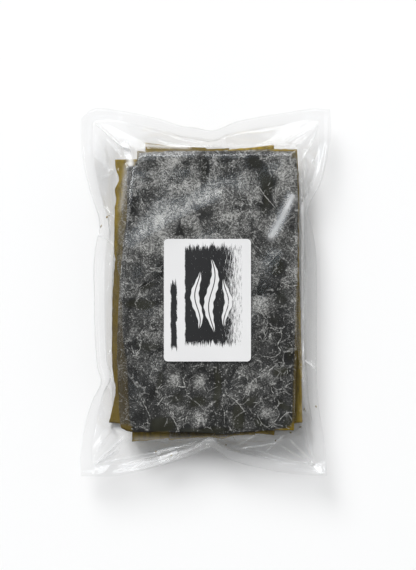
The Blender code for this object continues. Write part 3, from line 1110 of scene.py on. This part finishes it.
def kelpMaterial():
    material, tree, out, place = newMaterial("driedKelp")
    thin, tone = readValue(tree, "thin"), readValue(tree, "tone")
    dusting, crust = readValue(tree, "dusting"), readValue(tree, "crust")
    powder = addNode(tree, "ShaderNodeGroup", {"Vector": place, "Amount": dusting},
                     node_tree=bloomGroup()).outputs
    stains = noiseAt(tree, stretched(tree, place, (1, 0.3, 1)), 260, 3, 0.7)["Fac"]
    ground = mixColours(tree, ramp(tree, dusting, 0.32, 0.0), kelpFinish["ground"], kelpFinish["olive"])
    # where a sheet is thin, its gold is painted light coming through it over its own colour, as bright
    # as its tone
    litThroughGold = mixColours(tree, tone, kelpFinish["goldLitThroughDark"], kelpFinish["goldLitThroughBright"])
    litThroughGold = mixColours(tree, ramp(tree, stains, 0.38, 0.72, 0.0, 0.7), litThroughGold, kelpFinish["goldLitThroughDark"])
    ground = mixColours(tree, thin, ground, litThroughGold)
    covering = calc(tree, "MULTIPLY_ADD", powder["Line"], 0.75, powder["Bloom"])
    covering = calc(tree, "MINIMUM", covering, 0.95)
    less = calc(tree, "SUBTRACT", 1, calc(tree, "MULTIPLY", thin, 0.92))
    covering = calc(tree, "MAXIMUM", calc(tree, "MULTIPLY", covering, less), crust)
    colour = mixColours(tree, covering, ground, kelpFinish["bloom"])
    rough = ramp(tree, covering, 0.0, 0.4, kelpFinish["roughness"] - 0.1, kelpFinish["roughness"] + 0.3)
    bump = bumpFrom(tree, powder["Height"], 0.35, 0.0003)
    shader = addNode(tree, "ShaderNodeBsdfPrincipled", {
        "Base Color": colour, "Roughness": rough, "Specular IOR Level": 0.2, "Normal": bump})
    tree.links.new(shader.outputs[0], out.inputs["Surface"])
    return material


filmFinish = {
    "tint": (0.98, 0.98, 0.98, 1),
    "shine": (0.94, 0.95, 0.96, 1),
    "ior": 1.5,
    "insideGloss": 0.15,      # the far film, seen from inside, shows less
    "mostGloss": 0.22,
    "haze": 0.004,
    "creaseAndGlareHaze": 0.32,       # where it has been creased, and where glare, reflections and light over shade are painted
    "slopeHaze": 0.04,        # whiter where the view goes through it at a slant
    "bandHaze": 0.03,         # the weld is slightly milky
    "roughness": 0.12,
}


def filmMaterial():
    material, tree, out, place = newMaterial("clearFilm")
    weld, milkAndGlare = readValue(tree, "weld"), readValue(tree, "milkAndGlare")
    mirrored = addNode(tree, "ShaderNodeFresnel", {"IOR": filmFinish["ior"]}).outputs[0]
    haze = ramp(tree, weld, 0.05, 0.3, filmFinish["haze"], filmFinish["bandHaze"])
    slant = addNode(tree, "ShaderNodeLayerWeight", {"Blend": 0.5}).outputs["Facing"]
    haze = calc(tree, "ADD", haze, ramp(tree, slant, 0.25, 0.85, 0.0, filmFinish["slopeHaze"]))
    # the creases' milky value: whitening of the film, and painted glare, reflection streaks and light
    # over shade
    haze = calc(tree, "MULTIPLY_ADD", milkAndGlare, filmFinish["creaseAndGlareHaze"], haze)
    inside = addNode(tree, "ShaderNodeNewGeometry").outputs["Backfacing"]
    mirrored = calc(tree, "MULTIPLY", mirrored,
                    ramp(tree, inside, 0.0, 1.0, 1.0, filmFinish["insideGloss"]))
    mirrored = calc(tree, "MINIMUM", mirrored, filmFinish["mostGloss"])
    share = calc(tree, "ADD", mirrored, haze)
    metal = calc(tree, "DIVIDE", mirrored, share)
    ripple = noiseAt(tree, place, 120, 3, 0.55)["Fac"]
    gloss = addNode(tree, "ShaderNodeBsdfPrincipled", {
        "Base Color": filmFinish["shine"], "Metallic": metal, "Roughness": filmFinish["roughness"],
        "Normal": bumpFrom(tree, ripple, 0.04, 0.0004)})
    clear = addNode(tree, "ShaderNodeBsdfTransparent", {"Color": filmFinish["tint"]})
    both = addNode(tree, "ShaderNodeMixShader", {0: share, 1: clear.outputs[0], 2: gloss.outputs[0]})
    tree.links.new(both.outputs[0], out.inputs["Surface"])
    return material


labelFinish = {
    "paper": (0.785, 0.785, 0.785, 1),
    "fibre": (0.755, 0.755, 0.76, 1),         # a little darker, where its fibres lie
    "ink": (0.012, 0.012, 0.013, 1),
    # the brushed field, in millimetres from the label's middle
    "field": {"Middle X": 5.0, "Middle Y": 4.0, "Half Width": 23.0, "Half Height": 39.0,
              "Dryness": 0.3},
    "stroke": {"Middle X": -26.0, "Middle Y": -12.0, "Half Width": 3.4, "Half Height": 26.0,
               "Dryness": 0.6},
    # kelp fronds left white in the field
    "fronds": [
        {"Middle X": -8.0, "Foot": -24.0, "Tip": 24.0, "Half Width": 3.6, "Sway": 2.2, "Phase": 0.4},
        {"Middle X": 3.5, "Foot": -27.0, "Tip": 34.0, "Half Width": 4.2, "Sway": 2.6, "Phase": 2.1},
        {"Middle X": 15.0, "Foot": -22.0, "Tip": 18.0, "Half Width": 3.2, "Sway": 1.9, "Phase": 3.9},
    ],
}


def brushGroup():
    # a dry-brush stroke: frayed ends and streaks along it
    names = ["Middle X", "Middle Y", "Half Width", "Half Height", "Dryness"]
    tree, given, gives = newGroup("brushStroke", [("Vector", "Vector", None)]
                                  + [(name, "Float", 0.0) for name in names], ["Ink"])
    parts = addNode(tree, "ShaderNodeSeparateXYZ", {0: given["Vector"]}).outputs
    wobble = calc(tree, "SUBTRACT", noiseAt(tree, given["Vector"], 0.12, 3, 0.6)["Fac"], 0.5)
    x = calc(tree, "MULTIPLY_ADD", wobble, 3, calc(tree, "SUBTRACT", parts["X"], given["Middle X"]))
    y = calc(tree, "SUBTRACT", parts["Y"], given["Middle Y"])
    hair = noiseAt(tree, stretched(tree, given["Vector"], (1, 0.02, 1)), 1.6, 4, 0.75)["Fac"]
    frayed = calc(tree, "MULTIPLY", calc(tree, "SUBTRACT", hair, 0.5), 22)
    sideways = calc(tree, "SUBTRACT", calc(tree, "ABSOLUTE", x), given["Half Width"])
    endways = calc(tree, "SUBTRACT", calc(tree, "ABSOLUTE", y), given["Half Height"])
    endways = calc(tree, "ADD", endways, frayed)
    inside = ramp(tree, calc(tree, "MAXIMUM", sideways, endways), 0.35, -0.35)
    acrossShare = calc(tree, "DIVIDE", x, given["Half Width"])
    dry = calc(tree, "MULTIPLY", ramp(tree, acrossShare, 0.1, 1.0), given["Dryness"])
    streak = noiseAt(tree, stretched(tree, given["Vector"], (1, 0.06, 1)), 3.2, 4, 0.7)["Fac"]
    missing = ramp(tree, calc(tree, "ADD", streak, dry), 0.66, 0.74)
    ink = calc(tree, "MULTIPLY", inside, calc(tree, "SUBTRACT", 1, missing))
    tree.links.new(ink, gives["Ink"])
    return tree


def frondGroup():
    # a wavy blade of kelp: widest in the middle, with ruffled edges
    names = ["Middle X", "Foot", "Tip", "Half Width", "Sway", "Phase"]
    tree, given, gives = newGroup("kelpFrond", [("Vector", "Vector", None)]
                                  + [(name, "Float", 0.0) for name in names], ["Frond"])
    parts = addNode(tree, "ShaderNodeSeparateXYZ", {0: given["Vector"]}).outputs
    rise = calc(tree, "DIVIDE", calc(tree, "SUBTRACT", parts["Y"], given["Foot"]),
                calc(tree, "SUBTRACT", given["Tip"], given["Foot"]))
    swing = calc(tree, "SINE", calc(tree, "MULTIPLY_ADD", rise, 7.5, given["Phase"]))
    x = calc(tree, "SUBTRACT", calc(tree, "SUBTRACT", parts["X"], given["Middle X"]),
             calc(tree, "MULTIPLY", swing, given["Sway"]))
    body = calc(tree, "SINE", calc(tree, "MULTIPLY", rise, math.pi))
    body = calc(tree, "POWER", calc(tree, "MAXIMUM", body, 0.0), 0.85)
    ruffle = calc(tree, "SINE", calc(tree, "MULTIPLY", parts["Y"], 0.85))
    ruffle = calc(tree, "MULTIPLY_ADD", ruffle, 0.09, 0.95)
    width = calc(tree, "MULTIPLY", calc(tree, "MULTIPLY", body, ruffle), given["Half Width"])
    edge = calc(tree, "SUBTRACT", calc(tree, "ABSOLUTE", x), width)
    vein = ramp(tree, calc(tree, "ABSOLUTE", x), 0.3, 0.5)
    frond = calc(tree, "MULTIPLY", ramp(tree, edge, 0.12, -0.12), vein)
    within = calc(tree, "MULTIPLY", ramp(tree, rise, 0.0, 0.01), ramp(tree, rise, 1.0, 0.99))
    tree.links.new(calc(tree, "MULTIPLY", frond, within), gives["Frond"])
    return tree


def labelMaterial():
    material, tree, out, place = newMaterial("labelPaper")
    middle = (labelLow + labelHigh) / 2 / mm
    inMm = addNode(tree, "ShaderNodeMapping", {
        "Vector": place, "Scale": (1 / mm, 1 / mm, 1 / mm), "Location": -middle}).outputs[0]
    brush, frondTree = brushGroup(), frondGroup()

    def printed(group, values):
        return addNode(tree, "ShaderNodeGroup", {"Vector": inMm, **values}, node_tree=group).outputs[0]

    ink = printed(brush, labelFinish["field"])
    for values in labelFinish["fronds"]:
        ink = calc(tree, "MULTIPLY", ink, calc(tree, "SUBTRACT", 1, printed(frondTree, values)))
    ink = calc(tree, "MAXIMUM", ink, printed(brush, labelFinish["stroke"]))
    fibre = noiseAt(tree, inMm, 2.5, 4, 0.6)["Fac"]
    paper = mixColours(tree, ramp(tree, fibre, 0.3, 0.7), labelFinish["paper"], labelFinish["fibre"])
    colour = mixColours(tree, ink, paper, labelFinish["ink"])
    shader = addNode(tree, "ShaderNodeBsdfPrincipled", {
        "Base Color": colour, "Roughness": ramp(tree, ink, 0.0, 1.0, 0.5, 0.42),
        "Specular IOR Level": 0.35, "Normal": bumpFrom(tree, fibre, 0.06, 0.0001)})
    tree.links.new(shader.outputs[0], out.inputs["Surface"])
    return material


# The pieces of the pouch.

def centrePouch(filmPiece, contents):
    # the outline's middle moves onto the frame's axis, and the contents go with it
    places = np.array([v.co for v in filmPiece.data.vertices])
    middle = Vector((places.min(0) + places.max(0)) / 2)
    shift = (pouchLow + pouchHigh) / 2 - middle
    for piece in [filmPiece] + contents:
        piece.data.transform(Matrix.Translation((shift.x, shift.y, 0)))


kelpLook = kelpMaterial()
filmPiece = makeFilm(filmMaterial())
sheetPieces = makeStack(kelpLook)
sheetPieces.append(makeVeins(sheetPieces[-1], kelpLook))
centrePouch(filmPiece, sheetPieces)
crumbPiece = makeCrumbs(filmPiece, kelpLook)
labelPiece = makeLabel(filmPiece, labelMaterial())

for piece in [filmPiece, labelPiece, crumbPiece] + sheetPieces:
    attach(piece, "root")
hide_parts("pouch")
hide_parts("label")
print("pouch: pieces in place")


# The floor, the lights and the camera.

studio = {
    "floor": 12.0,
    "floorColour": (0.94, 0.94, 0.94, 1),
    "aim": (0.0020, 0.0058, 0.02),
    "viewHeight": 0.459,      # what the camera takes in from bottom to top
    "cameraHeight": 2.6,
    "sensor": 24,             # millimetres
    "fill": (0.07, 0.42),     # light from overhead, below and above the picture's middle
    "horizon": (0.95, 0.40),  # light from the horizon, at the lower right and at the upper left
    "horizonHeight": 38,      # degrees up to where the horizon's light reaches
    "towardTop": (-0.37, 0.93, 0),    # the way that the overhead light grows
    "towardRight": (0.75, -0.66, 0),  # and the horizon's
    # compass angle from the top edge towards the left, height above the horizon, distance, size,
    # radiance and colour
    "lights": [
        ("keySoftbox", 24, 36, 20.0, 9.2, 10.2, 17.2, (1, 1, 1)),
        ("keySheen", 22, 44, 20.4, 4.4, 4.4, 6.0, (1, 1, 1)),
        ("edgeSheen", 12, 69, 12.0, 3.4, 3.4, 5.0, (0.96, 0.98, 1)),
        ("leftSheen", 75, 78, 10.0, 1.5, 1.5, 1.8, (1, 1, 1)),
        ("smallSoftbox", 59, 73, 12.0, 2.0, 2.0, 7.5, (0.94, 0.97, 1)),
        ("sideSoftbox", -80, 28, 12.0, 5.0, 5.0, 1.2, (1, 1, 1)),
        ("overheadPanel", 28, 82, 8.0, 1.4, 1.4, 1.2, (0.72, 0.87, 1)),
    ],
}


def makeFloor():
    material, tree, out, _ = newMaterial("whiteFloor")
    shader = addNode(tree, "ShaderNodeBsdfDiffuse", {"Color": studio["floorColour"]})
    tree.links.new(shader.outputs[0], out.inputs["Surface"])
    bm = bmesh.new()
    bmesh.ops.create_grid(bm, x_segments=1, y_segments=1, size=studio["floor"] / 2)
    floor = newPiece("floor", bm, material, smooth=False)


def makeLight(name, compass, height, distance, width, length, radiance, colour):
    lamp = bpy.data.lights.new(name, "AREA")
    lamp.shape = "RECTANGLE"
    lamp.size, lamp.size_y = width, length
    lamp.energy = radiance * math.pi * width * length
    lamp.color = colour
    light = bpy.data.objects.new(name, lamp)
    across, up = math.radians(compass), math.radians(height)
    toLight = Vector((-math.sin(across) * math.cos(up), math.cos(across) * math.cos(up), math.sin(up)))
    light.location = Vector(studio["aim"]) + toLight * distance
    light.rotation_euler = toLight.to_track_quat("Z", "Y").to_euler()
    scene.collection.objects.link(light)
    # the key lights matt surfaces only, and the sheens are panels that only show in glossy ones
    light.visible_glossy = name != "keySoftbox"
    light.visible_diffuse = not name.endswith("Sheen")


def makeWorld():
    # dim overhead, bright at the horizon as in a white studio, and white where the camera sees it
    world = bpy.data.worlds.new("studio")
    world.use_nodes = True
    tree = world.node_tree
    tree.nodes.clear()
    toward = addNode(tree, "ShaderNodeTexCoord").outputs["Generated"]
    up = addNode(tree, "ShaderNodeSeparateXYZ", {0: toward}).outputs["Z"]
    towardTop = vectorCalc(tree, "DOT_PRODUCT", toward, studio["towardTop"])
    fill = ramp(tree, towardTop, -0.1, 0.4, *studio["fill"])
    low = ramp(tree, up, math.sin(math.radians(studio["horizonHeight"])), 0.0)
    towardRight = vectorCalc(tree, "DOT_PRODUCT", toward, studio["towardRight"])
    horizon = ramp(tree, towardRight, 0.3, -0.3, *studio["horizon"])
    brightness = calc(tree, "ADD", calc(tree, "MULTIPLY", calc(tree, "SUBTRACT", 1, low), fill),
                      calc(tree, "MULTIPLY", low, horizon))
    seen = addNode(tree, "ShaderNodeLightPath").outputs["Is Camera Ray"]
    brightness = calc(tree, "MAXIMUM", brightness, seen)
    background = addNode(tree, "ShaderNodeBackground", {"Color": (1, 1, 1, 1), "Strength": brightness})
    addNode(tree, "ShaderNodeOutputWorld", {"Surface": background.outputs[0]})
    scene.world = world


def makeCamera():
    view = bpy.data.cameras.new("camera")
    view.sensor_fit = "VERTICAL"
    view.sensor_height = studio["sensor"]
    distance = studio["cameraHeight"] - studio["aim"][2]
    view.lens = view.sensor_height * distance / studio["viewHeight"]
    camera = bpy.data.objects.new("camera", view)
    camera.location = (studio["aim"][0], studio["aim"][1], studio["cameraHeight"])
    scene.collection.objects.link(camera)
    scene.camera = camera


makeFloor()
for values in studio["lights"]:
    makeLight(*values)
makeWorld()
makeCamera()
scene.view_settings.view_transform = "Standard"
print("pouch: floor, lights and camera placed")
